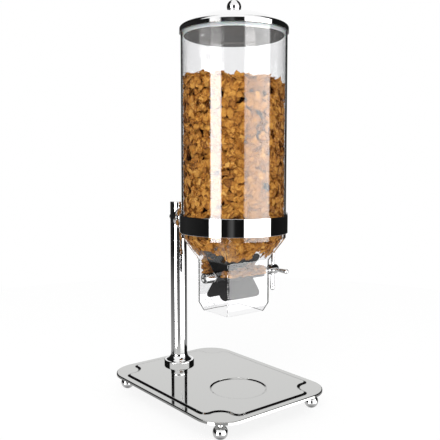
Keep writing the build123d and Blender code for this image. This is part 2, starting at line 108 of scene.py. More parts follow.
# Soft vanes of the paddle wheel
VANE_COUNT = 6
VANE_LENGTH = 0.0394
LEVEL_VANE_LENGTH = 0.0345
VANE_ROOT = 0.0066
VANE_ROOT_HALF = 0.034
VANE_TIP_HALF = 0.0376
VANE_THICKNESS = 0.0024
VANE_ROUND = 0.0085
VANE_ROUND_STEPS = 8
VANE_EDGE = 0.0004
SWEEP_RADIUS = 0.0415

# Cereal flakes. Each layer: how many, nearest and farthest from the wall, and how
# much they tilt. A tone is a mean and a spread, and more is paler.
FLAKE_RADIUS = (0.0045, 0.0088)
FLAKE_THICKNESS = 0.0008
FLAKE_SIDES = 9
FLAKE_JITTER = 0.2
FLAKE_RAGGED = 0.2
RAGGED_LIMIT = 1.5
FLAKE_MIDDLE = 0.55
FLAKE_STRETCH = (0.55, 0.95)
FLAKE_CURL = (4, 30)
FLAKE_TWIST = 14
FLAKE_CRUMPLE = 0.00035
FLAKE_LAYERS = [
    (1500, 0.0012, 0.0035, 0.24),
    (1900, 0.0030, 0.0070, 0.45),
    (1500, 0.0065, 0.0130, 0.80),
]
TOP_FLAKES = 800
TOP_ROUGH = 0.0025
TOP_SINK = 0.001
TOP_REACH = 0.97
TOP_LEAN = 0.4
TOP_DROP = 0.006
TOP_SLOPE = 0.006
HEAP_MARGIN = 0.006
HEAP_TONE = (0.27, 0.12)
TOP_TONE = (0.3, 0.12)
POCKET_TONE = (0.34, 0.12)
FUNNEL_LEAN = -0.8
WALL_GAP = 0.0004
SURFACE_GAP = 0.002
SWEEP_GAP = 0.003
MIDDLE_SHARE = 0.1

# Dark core of the heap: painted shade, a dark solid that stands in for the shadow deep between
# the flakes
CORE_SIDES = 48
CORE_INSET = 0.011
CORE_LIFT = 0.004
CORE_WAIST = 0.256
CORE_STEP = 0.03

# Heaps on the level vanes: how many flakes, span across, span from the axis, depth
POCKET_HEAPS = [
    (110, (-0.034, 0.034), (-0.033, -0.014), 0.006),
    (50, (0.012, 0.034), (-0.033, -0.014), 0.013),
    (70, (-0.034, 0.0), (0.016, 0.033), 0.010),
    (80, (-0.034, -0.018), (0.016, 0.033), 0.027),
]
POCKET_GAP = 0.002
POCKET_LEAN = 0.5
POCKET_LIFT = 0.0003

# Pressed step of the plate
STEP_INSET = 0.014
STEP_RISE = 0.0015
NOTCH_RADIUS = 0.022
SHOULDER_ROUND = 0.009
SHOULDER_STEPS = 12
NOTCH_STEPS = 30
STEP_SLOPE = (-0.0009, 0.0043)
RECESS_SLOPE = (0.0011, -0.0033)
RECESS_SIDES = 96
SLOPE_ROWS = 15
SLOPE_ROUND = 0.14
SLOPE_LIFT = 0.00004
RECESS_RADIUS = 0.0445
RECESS_Y = -0.057


def link(obj):
    bpy.context.scene.collection.objects.link(obj)
    return obj


def mesh_object(name, points, faces, smooth=True):
    """A mesh piece from points and faces, smooth or flat shaded."""
    mesh = bpy.data.meshes.new(name)
    mesh.from_pydata([tuple(p) for p in points], [], faces)
    mesh.update()
    mesh.shade_smooth() if smooth else mesh.shade_flat()
    return link(bpy.data.objects.new(name, mesh))


class Material:
    """Short helper round a node material with a Principled shader."""

    def __init__(self, name, color, roughness, metallic=0.0, **sockets):
        self.data = bpy.data.materials.new(name)
        self.data.use_nodes = True
        self.nodes = self.data.node_tree.nodes
        self.links = self.data.node_tree.links
        self.shader = self.nodes["Principled BSDF"]
        self.output = self.nodes["Material Output"]
        self.shader.inputs["Base Color"].default_value = (*color, 1)
        self.shader.inputs["Roughness"].default_value = roughness
        self.shader.inputs["Metallic"].default_value = metallic
        for key, value in sockets.items():
            self.shader.inputs[key.replace("_", " ")].default_value = value

    def node(self, kind, **settings):
        made = self.nodes.new(kind)
        for key, value in settings.items():
            setattr(made, key, value)
        return made

    def join(self, source, target):
        self.links.new(source, target)

    def noise(self, scale, detail=2.0, stretch=(1, 1, 1)):
        """Noise in object space, stretched along an axis where the finish runs."""
        place = self.node("ShaderNodeTexCoord")
        mapping = self.node("ShaderNodeMapping")
        mapping.inputs["Scale"].default_value = stretch
        noise = self.node("ShaderNodeTexNoise")
        noise.inputs["Scale"].default_value = scale
        noise.inputs["Detail"].default_value = detail
        self.join(place.outputs["Object"], mapping.inputs["Vector"])
        self.join(mapping.outputs["Vector"], noise.inputs["Vector"])
        return noise.outputs["Fac"]

    def spread(self, factor, low, high, start=0.3, end=0.7):
        """Turn a 0 to 1 factor into a number between low and high."""
        span = self.node("ShaderNodeMapRange")
        span.inputs["From Min"].default_value = start
        span.inputs["From Max"].default_value = end
        span.inputs["To Min"].default_value = low
        span.inputs["To Max"].default_value = high
        self.join(factor, span.inputs["Value"])
        return span.outputs["Result"]

    def ramp(self, factor, stops):
        """Colour ramp from (position, colour) stops."""
        ramp = self.node("ShaderNodeValToRGB")
        elements = ramp.color_ramp.elements
        elements[0].position, elements[0].color = stops[0][0], (*stops[0][1], 1)
        elements[1].position, elements[1].color = stops[-1][0], (*stops[-1][1], 1)
        for position, color in stops[1:-1]:
            elements.new(position).color = (*color, 1)
        self.join(factor, ramp.inputs["Fac"])
        return ramp.outputs["Color"]

    def bump(self, factor, depth):
        """Fine relief, depth in metres."""
        bump = self.node("ShaderNodeBump")
        bump.inputs["Distance"].default_value = depth
        self.join(factor, bump.inputs["Height"])
        self.join(bump.outputs["Normal"], self.shader.inputs["Normal"])


def chrome_material(name, color, low, high, stretch=(1, 1, 1)):
    """Mirror plate with faint wiping marks in its gloss."""
    chrome = Material(name, color, low, metallic=1.0)
    marks = chrome.noise(90, 4, stretch)
    chrome.join(chrome.spread(marks, low, high), chrome.shader.inputs["Roughness"])
    return chrome


def spun_material(name, color, low, high, depth):
    """Polished sheet with faint rings from spinning."""
    spun = Material(name, color, low, metallic=1.0)
    place = spun.node("ShaderNodeTexCoord")
    apart = spun.node("ShaderNodeSeparateXYZ")
    spun.join(place.outputs["Object"], apart.inputs["Vector"])
    from_axis = spun.node("ShaderNodeCombineXYZ")
    shifted = spun.node("ShaderNodeMath", operation="SUBTRACT")
    shifted.inputs[1].default_value = AXIS_Y
    spun.join(apart.outputs["Y"], shifted.inputs[0])
    spun.join(apart.outputs["X"], from_axis.inputs["X"])
    spun.join(shifted.outputs["Value"], from_axis.inputs["Y"])
    radius = spun.node("ShaderNodeVectorMath", operation="LENGTH")
    spun.join(from_axis.outputs["Vector"], radius.inputs[0])
    rings = spun.node("ShaderNodeTexNoise", noise_dimensions="1D")
    rings.inputs["Scale"].default_value = 900
    spun.join(radius.outputs["Value"], rings.inputs["W"])
    spun.join(spun.spread(rings.outputs["Fac"], low, high), spun.shader.inputs["Roughness"])
    spun.bump(rings.outputs["Fac"], depth)
    return spun


def clear_material():
    """Clear moulded plastic that lets light fall on what it holds."""
    clear = Material(
        "clear_plastic", (0.985, 0.985, 0.99), 0.012, Transmission_Weight=1.0, IOR=1.47
    )
    haze = clear.noise(14, 3)
    clear.join(clear.spread(haze, 0.006, 0.03), clear.shader.inputs["Roughness"])
    flow = clear.noise(7, 1, (1, 1, 0.4))
    clear.bump(flow, 0.0004)
    path = clear.node("ShaderNodeLightPath")
    see_through = clear.node("ShaderNodeBsdfTransparent")
    see_through.inputs["Color"].default_value = (0.94, 0.94, 0.95, 1)
    either = clear.node("ShaderNodeMath", operation="MAXIMUM")
    clear.join(path.outputs["Is Shadow Ray"], either.inputs[0])
    clear.join(path.outputs["Is Diffuse Ray"], either.inputs[1])
    mix = clear.node("ShaderNodeMixShader")
    clear.join(either.outputs["Value"], mix.inputs["Fac"])
    clear.join(clear.shader.outputs["BSDF"], mix.inputs[1])
    clear.join(see_through.outputs["BSDF"], mix.inputs[2])
    clear.join(mix.outputs["Shader"], clear.output.inputs["Surface"])
    return clear


def silicone_material():
    """Black silicone with a soft dusty sheen."""
    silicone = Material("silicone", (0.004, 0.004, 0.0045), 0.5, Specular_IOR_Level=0.05)
    dust = silicone.noise(160, 5)
    silicone.join(silicone.spread(dust, 0.4, 0.58), silicone.shader.inputs["Roughness"])
    silicone.bump(dust, 0.00006)
    return silicone


def seal_material():
    """Milky silicone of the lid seal."""
    seal = Material(
        "seal", (0.85, 0.86, 0.86), 0.35, Subsurface_Weight=0.3, Subsurface_Scale=0.004
    )
    grain = seal.noise(300, 3)
    seal.join(seal.spread(grain, 0.3, 0.45), seal.shader.inputs["Roughness"])
    return seal


def bush_material():
    """Natural acetal of the shaft bushes."""
    bush = Material("bush_plastic", (0.82, 0.82, 0.8), 0.35)
    grain = bush.noise(400, 3)
    bush.join(bush.spread(grain, 0.28, 0.45), bush.shader.inputs["Roughness"])
    bush.bump(grain, 0.00003)
    return bush


def flake_material(name):
    """Toasted flakes: each has its own golden brown and is blistered, and is darker at the rim,
    painted shade for the dark lines where flakes meet.
    """
    flake = Material(name, (0.6, 0.27, 0.04), 0.6, Specular_IOR_Level=0.3)
    tone = flake.node("ShaderNodeAttribute", attribute_name="flake_tone")
    rim = flake.node("ShaderNodeAttribute", attribute_name="flake_rim")
    speckle = flake.noise(330, 5)
    sum_up = flake.node("ShaderNodeMath", operation="MULTIPLY_ADD")
    sum_up.inputs[1].default_value = 0.5
    flake.join(speckle, sum_up.inputs[0])
    flake.join(tone.outputs["Fac"], sum_up.inputs[2])
    toasted = flake.ramp(
        sum_up.outputs["Value"],
        [
            (0.2, (0.17, 0.056, 0.007)),
            (0.45, (0.46, 0.19, 0.024)),
            (0.7, (0.64, 0.315, 0.056)),
            (1.0, (0.80, 0.48, 0.14)),
        ],
    )
    # Painted shade: each flake darkened towards its rim, for the dark lines where flakes meet
    rim_shade = flake.node("ShaderNodeMix", data_type="RGBA", blend_type="MULTIPLY")
    rim_shade.inputs["B"].default_value = (0.5, 0.34, 0.2, 1)
    flake.join(flake.spread(rim.outputs["Fac"], 0.0, 0.7, 0.7, 1.0), rim_shade.inputs["Factor"])
    flake.join(toasted, rim_shade.inputs["A"])
    flake.join(rim_shade.outputs["Result"], flake.shader.inputs["Base Color"])
    blister = flake.noise(300, 4)
    flake.bump(blister, 0.0007)
    return flake


def floor_material():
    """Plain pale floor: nearly white when seen, with a faint shadow.

    Rays that were mirrored before pass through it and see the studio."""
    floor = Material("floor", (0.9, 0.9, 0.9), 0.8)
    grain = floor.noise(60, 3)
    floor.join(floor.spread(grain, 0.75, 0.9), floor.shader.inputs["Roughness"])
    path = floor.node("ShaderNodeLightPath")
    seen = floor.node("ShaderNodeMath", operation="MAXIMUM")
    floor.join(path.outputs["Is Camera Ray"], seen.inputs[0])
    floor.join(path.outputs["Is Transmission Ray"], seen.inputs[1])
    seen_too = floor.node("ShaderNodeMath", operation="MAXIMUM")
    floor.join(seen.outputs["Value"], seen_too.inputs[0])
    floor.join(path.outputs["Is Glossy Ray"], seen_too.inputs[1])
    share = floor.node("ShaderNodeMath", operation="MULTIPLY")
    share.inputs[1].default_value = FLOOR_WHITE_SHARE
    floor.join(seen_too.outputs["Value"], share.inputs[0])
    glow = floor.node("ShaderNodeEmission")
    glow.inputs["Color"].default_value = (1, 1, 1, 1)
    glow.inputs["Strength"].default_value = 1.0
    mix = floor.node("ShaderNodeMixShader")
    floor.join(share.outputs["Value"], mix.inputs["Fac"])
    floor.join(floor.shader.outputs["BSDF"], mix.inputs[1])
    floor.join(glow.outputs["Emission"], mix.inputs[2])
    mirrored = floor.node("ShaderNodeMath", operation="MINIMUM")
    mirrored.inputs[1].default_value = 1.0
    floor.join(path.outputs["Glossy Depth"], mirrored.inputs[0])
    passed_on = floor.node("ShaderNodeMixShader")
    floor.join(mirrored.outputs["Value"], passed_on.inputs["Fac"])
    floor.join(mix.outputs["Shader"], passed_on.inputs[1])
    floor.join(floor.node("ShaderNodeBsdfTransparent").outputs["BSDF"], passed_on.inputs[2])
    floor.join(passed_on.outputs["Shader"], floor.output.inputs["Surface"])
    return floor


# Studio: white background, tall soft boxes and dark flags that the chrome mirrors.
# Angles in degrees round the object, 0 towards the camera, positive to its right,
# with the brightness that a mirror shows there.
# The peak is what the white end of the ramps stands for, the fill what matt faces get.
BAND_PEAK = 16.0
SOFT_FILL = 0.97


def wall_levels(behind, left_box, shade, right_box, right_end):
    """Levels all round: dark walls with a soft box on each side, and what is behind."""
    return [
        (-180, behind[0]),
        (-168, behind[1]),
        (-162, 0.012),
        (-120, 0.02),
        (-53, 0.006),
        (-50, left_box[0]),
        (-30, left_box[1]),
        (-27, 0.004),
        *shade,
        (-9, 0.06),
        (-4, 0.085),
        (2, 0.01),
        (20, 0.004),
        (23, right_box[0]),
        (right_end, right_box[1]),
        (right_end + 3, 0.006),
        (120, 0.01),
        (162, 0.012),
        (168, behind[1]),
        (180, behind[0]),
    ]


EYE_LEVEL = wall_levels((0.8, 0.7), (13.0, 13.0), [(-15, 0.008)], (4.0, 5.6), 79)
LOW_LEVEL = wall_levels((0.03, 0.02), (13.0, 13.0), [(-15, 0.008)], (3.6, 4.4), 85)
HIGH_LEVEL = wall_levels((0.8, 0.7), (1.2, 0.9), [], (4.0, 5.6), 79)
ABOVE_LEVEL = [
    (-180, 1.0),
    (-168, 1.0),
    (-164, 0.01),
    (-78, 0.01),
    (-70, 1.0),
    (82, 1.0),
    (88, 0.008),
    (164, 0.01),
    (168, 1.0),
    (180, 1.0),
]
# Brightness of the table below the object, by the sine of the elevation
TABLE_LEVEL = [
    (-1.0, 0.22),
    (-0.75, 0.5),
    (-0.42, 0.52),
    (-0.26, 0.24),
    (-0.13, 0.0),
    (1.0, 0.0),
]
# Sines of the elevations between which one set of levels gives way to the next
FLOOR_START = (-0.52, -0.40)
LOW_END = (-0.15, -0.125)
HIGH_START = (0.15, 0.20)
SOFT_BOX_TOP = (0.24, 0.31)
CEILING_START = (0.84, 0.90)
DARK_FLOOR = 0.01


def add_stops(ramp, stops, low, high, peak):
    """Fill a grey ramp over low to high from (place, level) stops."""
    elements = ramp.color_ramp.elements
    for index, (place, level) in enumerate(stops):
        position = (place - low) / (high - low)
        if index < 2:
            element = elements[index]
            element.position = position
        else:
            element = elements.new(position)
        element.color = (level / peak, level / peak, level / peak, 1)


def make_world():
    world = bpy.data.worlds.new("studio")
    bpy.context.scene.world = world
    world.use_nodes = True
    nodes = world.node_tree.nodes
    links = world.node_tree.links
    background = nodes["Background"]
    output = nodes["World Output"]
    place = nodes.new("ShaderNodeTexCoord")
    back = Vector((-CAMERA_AHEAD.x, -CAMERA_AHEAD.y, 0)).normalized()
    right = Vector((-back.y, back.x, 0))

    def dotted(direction):
        dot = nodes.new("ShaderNodeVectorMath")
        dot.operation = "DOT_PRODUCT"
        dot.inputs[1].default_value = direction
        links.new(place.outputs["Generated"], dot.inputs[0])
        return dot.outputs["Value"]

    def ranged(value, low, high, smooth=False):
        share = nodes.new("ShaderNodeMapRange")
        share.interpolation_type = "SMOOTHSTEP" if smooth else "LINEAR"
        share.inputs["From Min"].default_value = low
        share.inputs["From Max"].default_value = high
        links.new(value, share.inputs["Value"])
        return share.outputs["Result"]

    def levels(share, stops, low, high, peak):
        ramp = nodes.new("ShaderNodeValToRGB")
        add_stops(ramp, stops, low, high, peak)
        links.new(share, ramp.inputs["Fac"])
        grow = nodes.new("ShaderNodeVectorMath")
        grow.operation = "SCALE"
        grow.inputs["Scale"].default_value = peak
        links.new(ramp.outputs["Color"], grow.inputs[0])
        return grow.outputs["Vector"]

    def mixed(factor, first, second):
        mix = nodes.new("ShaderNodeMix")
        mix.data_type = "RGBA"
        links.new(factor, mix.inputs["Factor"])
        for source, socket in ((first, "A"), (second, "B")):
            if isinstance(source, float):
                mix.inputs[socket].default_value = (source, source, source, 1)
            else:
                links.new(source, mix.inputs[socket])
        return mix.outputs["Result"]

    def sums(operation, first, second):
        made = nodes.new("ShaderNodeMath")
        made.operation = operation
        for source, socket in ((first, made.inputs[0]), (second, made.inputs[1])):
            if isinstance(source, float):
                socket.default_value = source
            else:
                links.new(source, socket)
        return made.outputs["Value"]

    turn = ranged(sums("ARCTAN2", dotted(right), dotted(back)), -math.pi, math.pi)
    height = dotted(Vector((0, 0, 1)))
    eye = levels(turn, EYE_LEVEL, -180, 180, BAND_PEAK)
    above = levels(turn, ABOVE_LEVEL, -180, 180, 1.0)
    table = levels(ranged(height, -1.0, 1.0), TABLE_LEVEL, -1.0, 1.0, 1.0)
    low = levels(turn, LOW_LEVEL, -180, 180, BAND_PEAK)
    high = levels(turn, HIGH_LEVEL, -180, 180, BAND_PEAK)
    walls = mixed(ranged(height, *FLOOR_START, True), DARK_FLOOR, low)
    walls = mixed(ranged(height, *LOW_END, True), walls, eye)
    walls = mixed(ranged(height, *HIGH_START, True), walls, high)
    walls = mixed(ranged(height, *SOFT_BOX_TOP, True), walls, above)
    room = mixed(ranged(height, *CEILING_START, True), walls, 1.0)
    mirrored = nodes.new("ShaderNodeVectorMath")
    mirrored.operation = "MAXIMUM"
    links.new(room, mirrored.inputs[0])
    links.new(table, mirrored.inputs[1])
    path = nodes.new("ShaderNodeLightPath")
    mirror_share = sums("MINIMUM", path.outputs["Glossy Depth"], 1.0)
    straight = sums("SUBTRACT", 1.0, mirror_share)
    through = sums("MULTIPLY", path.outputs["Is Transmission Ray"], straight)
    seen = sums("MAXIMUM", path.outputs["Is Camera Ray"], through)
    not_soft = sums("SUBTRACT", 1.0, path.outputs["Is Diffuse Ray"])
    mirror = sums("MULTIPLY", mirror_share, not_soft)
    lit = mixed(mirror, SOFT_FILL, mirrored.outputs["Vector"])
    links.new(mixed(seen, lit, 1.0), background.inputs["Color"])
    links.new(background.outputs["Background"], output.inputs["Surface"])


def make_camera():
    data = bpy.data.cameras.new("camera")
    data.sensor_width = SENSOR_WIDTH
    data.lens = CAMERA_LENS
    data.clip_start = CLIP_START
    camera = link(bpy.data.objects.new("camera", data))
    right = CAMERA_AHEAD.cross(Vector((0, 0, 1))).normalized()
    up = right.cross(CAMERA_AHEAD)
    turn = Matrix((right, up, -CAMERA_AHEAD)).transposed()
    camera.matrix_world = Matrix.Translation(CAMERA_PLACE) @ turn.to_4x4()
    bpy.context.scene.camera = camera


def make_floor():
    turns = np.linspace(0, 2 * math.pi, FLOOR_SIDES + 1)[:-1]
    rim = [(FLOOR_RADIUS * math.cos(turn), FLOOR_RADIUS * math.sin(turn), 0) for turn in turns]
    floor = mesh_object("floor", rim, [tuple(range(FLOOR_SIDES))])
    floor.data.materials.append(floor_material().data)
    floor.visible_glossy = False


def make_lamp(name, place, target, size, power):
    data = bpy.data.lights.new(name, "AREA")
    data.shape = "RECTANGLE"
    data.size, data.size_y = size
    data.energy = power
    lamp = link(bpy.data.objects.new(name, data))
    lamp.location = place
    lamp.rotation_euler = (Vector(target) - Vector(place)).to_track_quat("-Z", "Y").to_euler()
    lamp.visible_camera = False
    lamp.visible_glossy = False


def dress_nodes():
    """Give every carried-over CAD node its finish, by the record's slots."""
    finishes = {
        "chrome": chrome_material("chrome", (0.9, 0.9, 0.9), 0.012, 0.035).data,
        "lid_steel": spun_material("lid_steel", (0.93, 0.93, 0.93), 0.03, 0.09, 0.00001).data,
        "plain_steel": chrome_material("plain_steel", (0.55, 0.55, 0.56), 0.2, 0.35).data,
        "clear_plastic": clear_material().data,
        "silicone": silicone_material().data,
        "seal": seal_material().data,
        "bush_plastic": bush_material().data,
        "cereal": flake_material("cereal_plain").data,
    }
    own = {
        "base_plate": chrome_material("plate_steel", (0.55, 0.55, 0.54), 0.03, 0.07).data,
        # Painted shade in its reflection: the lid's steel made darker, so that the pan mirrors
        # the dark cereal and surroundings
        "lid_pan": spun_material("shaded_pan_steel", (0.44, 0.42, 0.40), 0.08, 0.22, 0.00004).data,
    }
    for part in frame["record"]["subparts"]:
        node = NODES[part["node"]]
        node.data.materials.clear()
        node.data.materials.append(own.get(part["node"], finishes[part["material_slot"]]))


def round_rectangle(half, corner, steps):
    """Outline of a rectangle with round corners, counter-clockwise, as (x, y) rows."""
    points = []
    for number, (sx, sy) in enumerate(((1, 1), (-1, 1), (-1, -1), (1, -1))):
        for step in range(steps + 1):
            turn = math.radians(90 * (number + step / steps))
            x = sx * (half[0] - corner) + corner * math.cos(turn)
            y = sy * (half[1] - corner) + corner * math.sin(turn)
            points.append((x, y))
    return np.array(points)


def bore_at(height, direction):
    """Free radius inside the canister or hopper, at a height, towards a unit (x, y)."""
    if height >= FUNNEL_TOP:
        return FUNNEL_BORE if height < FUNNEL_TOP + SPIGOT_RISE else CANISTER_BORE
    half_x, half_y = THROAT_HALF[0] - WALL, THROAT_HALF[1] - WALL
    across = half_x / max(abs(direction[0]), 1e-6)
    along = half_y / max(abs(direction[1]), 1e-6)
    square = min(across, along, math.hypot(half_x, half_y) - CORNER_CUT)
    share = min(max((FUNNEL_TOP - height) / (FUNNEL_TOP - THROAT_TOP), 0), 1)
    return FUNNEL_BORE + (square - FUNNEL_BORE) * share


def flake_shape(rng):
    """One flake: a thin crumpled scrap with a ragged outline, curled one way."""
    sides = FLAKE_SIDES
    turns = np.arange(sides) * 2 * math.pi / sides
    turns += rng.uniform(-FLAKE_JITTER, FLAKE_JITTER, sides)
    radius = rng.uniform(*FLAKE_RADIUS)
    ragged = rng.standard_normal(sides).clip(-RAGGED_LIMIT, RAGGED_LIMIT)
    outline = radius * (1 + FLAKE_RAGGED * ragged)
    stretch = rng.uniform(*FLAKE_STRETCH)
    points = [(0, 0, 0)]
    rims = [0.0]
    for share in (FLAKE_MIDDLE, 1.0):
        along = np.cos(turns) * outline * share
        across = np.sin(turns) * outline * share * stretch
        points += [(x, y, 0) for x, y in np.stack([along, across], 1)]
        rims += [share] * sides
    points = np.array(points, float)
    curl = rng.uniform(*FLAKE_CURL) * rng.choice((-1, 1))
    twist = rng.uniform(-FLAKE_TWIST, FLAKE_TWIST)
    points[:, 2] = curl * points[:, 0] ** 2 + twist * points[:, 0] * points[:, 1]
    points[:, 2] += rng.normal(0, FLAKE_CRUMPLE, len(points))
    faces = [(0, 1 + i, 1 + (i + 1) % sides) for i in range(sides)]
    for i in range(sides):
        j = (i + 1) % sides
        faces.append((1 + i, 1 + sides + i, 1 + sides + j, 1 + j))
    lower = points.copy()
    lower[:, 2] -= FLAKE_THICKNESS
    count = len(points)
    faces += [tuple(count + k for k in reversed(face)) for face in faces]
    for i in range(sides):
        j = (i + 1) % sides
        upper_i, upper_j = 1 + sides + i, 1 + sides + j
        faces.append((upper_j, upper_i, count + upper_i, count + upper_j))
    return np.vstack([points, lower]), faces, rims + rims


def turn_to(normal, spin):
    """Rotation that lays a flake square to a direction."""
    axis = Vector(normal).normalized()
    return np.array(axis.to_track_quat("Z", "Y").to_matrix() @ Matrix.Rotation(spin, 3, "Z"))


def flake_tone(rng, tone, low=0.0, high=0.6):
    """How pale a flake is, from a mean and a spread, kept between two ends."""
    return float(np.clip(rng.normal(*tone), low, high))


def build_flakes(name, places, rng, keep_in):
    """Join flakes at (place, normal, tone) into one piece, held inside the walls."""
    points, faces, tones, rims = [], [], [], []
    for place, normal, tone in places:
        shape, shape_faces, shape_rims = flake_shape(rng)
        moved = shape @ turn_to(normal, rng.uniform(0, 2 * math.pi)).T + np.array(place)
        moved = keep_in(moved)
        start = len(points)
        points.extend(moved)
        faces.extend(tuple(start + k for k in face) for face in shape_faces)
        tones.extend([tone] * len(moved))
        rims.extend(shape_rims)
    piece = mesh_object(name, points, faces, smooth=False)
    for attribute, values in (("flake_tone", tones), ("flake_rim", rims)):
        data = piece.data.attributes.new(attribute, "FLOAT", "POINT")
        data.data.foreach_set("value", np.array(values, np.float32))
    piece.data.materials.append(flake_material(name).data)
    return piece


def keep_in_bore(points):
    """Pull points inside the canister and hopper walls, and above the paddle wheel."""
    kept = points.copy()
    for point in kept:
        dx, dy = point[0], point[1] - AXIS_Y
        distance = math.hypot(dx, dy)
        if distance < 1e-6:
            continue
        free = bore_at(point[2], (dx / distance, dy / distance)) - WALL_GAP
        if distance > free:
            point[0] *= free / distance
            point[1] = AXIS_Y + dy * free / distance
        reach = math.hypot(point[1] - AXIS_Y, point[2] - SHAFT_Z)
        if reach < SWEEP_RADIUS and point[2] > SHAFT_Z:
            point[2] = SHAFT_Z + math.sqrt(SWEEP_RADIUS**2 - (point[1] - AXIS_Y) ** 2)
    return kept


def surface_height(x, y):
    """Height of the cereal surface, a little higher on the camera's left."""
    to_right = 0.78 * x - 0.62 * (y - AXIS_Y)
    return CEREAL_HIGH.z - TOP_DROP - TOP_SLOPE * to_right / CANISTER_BORE


def make_cereal():
    """Flakes in layers against the wall and on top, over a dark core that is painted shade."""
    rng = np.random.default_rng(RANDOM_SEED)
    places = []
    for count, nearest, farthest, lean in FLAKE_LAYERS:
        laid = 0
        while laid < count:
            turn = rng.uniform(0, 2 * math.pi)
            height = rng.uniform(CEREAL_LOW.z - HEAP_MARGIN, CEREAL_HIGH.z + HEAP_MARGIN)
            direction = (math.cos(turn), math.sin(turn))
            distance = bore_at(height, direction) - rng.uniform(nearest, farthest)
            # Fewer near the axis, so that they lie evenly
            if rng.uniform() > distance / CANISTER_BORE + MIDDLE_SHARE:
                continue
            place = (direction[0] * distance, AXIS_Y + direction[1] * distance, height)
            if height > surface_height(place[0], place[1]) - SURFACE_GAP:
                continue
            if math.hypot(place[1] - AXIS_Y, height - SHAFT_Z) < SWEEP_RADIUS + SWEEP_GAP:
                continue
            slope = 0.0 if height > FUNNEL_TOP else FUNNEL_LEAN
            tilt = rng.normal(0, lean, 3)
            normal = (direction[0] + tilt[0], direction[1] + tilt[1], slope + tilt[2])
            places.append((place, normal, flake_tone(rng, HEAP_TONE)))
            laid += 1
    for _ in range(TOP_FLAKES):
        turn = rng.uniform(0, 2 * math.pi)
        reach = CANISTER_BORE * math.sqrt(rng.uniform(0, 1)) * TOP_REACH
        x, y = reach * math.cos(turn), AXIS_Y + reach * math.sin(turn)
        height = surface_height(x, y) + rng.normal(-TOP_SINK, TOP_ROUGH)
        normal = (rng.normal(0, TOP_LEAN), rng.normal(0, TOP_LEAN), 1)
        places.append(((x, y, height), normal, flake_tone(rng, TOP_TONE)))
    flakes = build_flakes("cereal_flakes", places, rng, keep_in_bore)
    core = make_shade_core()
    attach(flakes, "stand")
    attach(core, "stand")
    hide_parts("cereal_fill")


def make_shade_core():
    """Dark solid inside the heap, seen only in the gaps between flakes: painted shade for the
    shadow deep between them.
    """
    sides = CORE_SIDES
    heights = [
        CEREAL_LOW.z + CORE_LIFT,
        CORE_WAIST,
        FUNNEL_TOP,
        FUNNEL_TOP + CORE_STEP,
        CEREAL_HIGH.z - CORE_STEP,
        CEREAL_HIGH.z - TOP_DROP,
    ]
    points = []
    for height in heights:
        for i in range(sides):
            turn = 2 * math.pi * i / sides
            direction = (math.cos(turn), math.sin(turn))
            distance = bore_at(height, direction) - CORE_INSET
            points.append((direction[0] * distance, AXIS_Y + direction[1] * distance, height))
    faces = ring_faces(len(heights), sides, False)
    faces.append(tuple(reversed(range(sides))))
    faces.append(tuple((len(heights) - 1) * sides + i for i in range(sides)))
    core = mesh_object("cereal_shade_core", points, faces)
    # Painted shade: near-black brown, mottled darker and lighter, for the shadowed depth of the
    # heap
    dark = Material("cereal_shade_core", (0.03, 0.012, 0.003), 0.9, Specular_IOR_Level=0.1)
    core_mottle = dark.noise(300, 4)
    dark.join(
        dark.ramp(core_mottle, [(0.35, (0.008, 0.003, 0.001)), (0.7, (0.07, 0.028, 0.006))]),
        dark.shader.inputs["Base Color"],
    )
    dark.bump(core_mottle, 0.002)
    core.data.materials.append(dark.data)
    return core


def make_pocket_flakes():
    """The next portions: flakes that lie on the two level vanes."""
    rng = np.random.default_rng(RANDOM_SEED + 1)
    top = SHAFT_Z + VANE_THICKNESS / 2
    inner_x = THROAT_HALF[0] - WALL
    inner_y = THROAT_HALF[1] - WALL
    places = []
    for count, span_x, span_y, depth in POCKET_HEAPS:
        for _ in range(count):
            x = rng.uniform(*span_x)
            y = AXIS_Y + rng.uniform(*span_y)
            height = top + POCKET_GAP + rng.uniform(0, 1) * depth
            normal = (rng.normal(0, POCKET_LEAN), rng.normal(0, POCKET_LEAN), 1)
            places.append(((x, y, height), normal, flake_tone(rng, POCKET_TONE, 0.05, 0.7)))

    def keep_in_pocket(points):
        kept = points.copy()
        kept[:, 2] = np.maximum(kept[:, 2], top + POCKET_LIFT)
        kept[:, 0] = np.clip(kept[:, 0], -inner_x + POCKET_GAP, inner_x - POCKET_GAP)
        reach = kept[:, 1] - AXIS_Y
        rise = kept[:, 2] - SHAFT_Z
        sweep = np.sqrt(np.maximum(SWEEP_RADIUS**2 - rise**2, 0))
        limit = np.minimum(inner_y - POCKET_GAP, sweep - POCKET_GAP)
        kept[:, 1] = AXIS_Y + np.clip(reach, -limit, limit)
        return kept

    flakes = build_flakes("pocket_flakes", places, rng, keep_in_pocket)
    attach(flakes, "paddle_wheel")


def offset_outline(points, distance):
    """Move a closed counter-clockwise outline outwards."""
    ahead = np.roll(points, -1, 0) - points
    behind = points - np.roll(points, 1, 0)
    ahead /= np.maximum(np.linalg.norm(ahead, axis=1), 1e-9)[:, None]
    behind /= np.maximum(np.linalg.norm(behind, axis=1), 1e-9)[:, None]
    along = ahead + behind
    along /= np.linalg.norm(along, axis=1)[:, None]
    return points + distance * np.stack([along[:, 1], -along[:, 0]], 1)


def ring_faces(rings, count, closed):
    """Quads between following rings of count points."""
    faces = []
    for ring in range(rings if closed else rings - 1):
        a, b = ring * count, ((ring + 1) % rings) * count
        faces += [(a + i, a + (i + 1) % count, b + (i + 1) % count, b + i) for i in range(count)]
    return faces


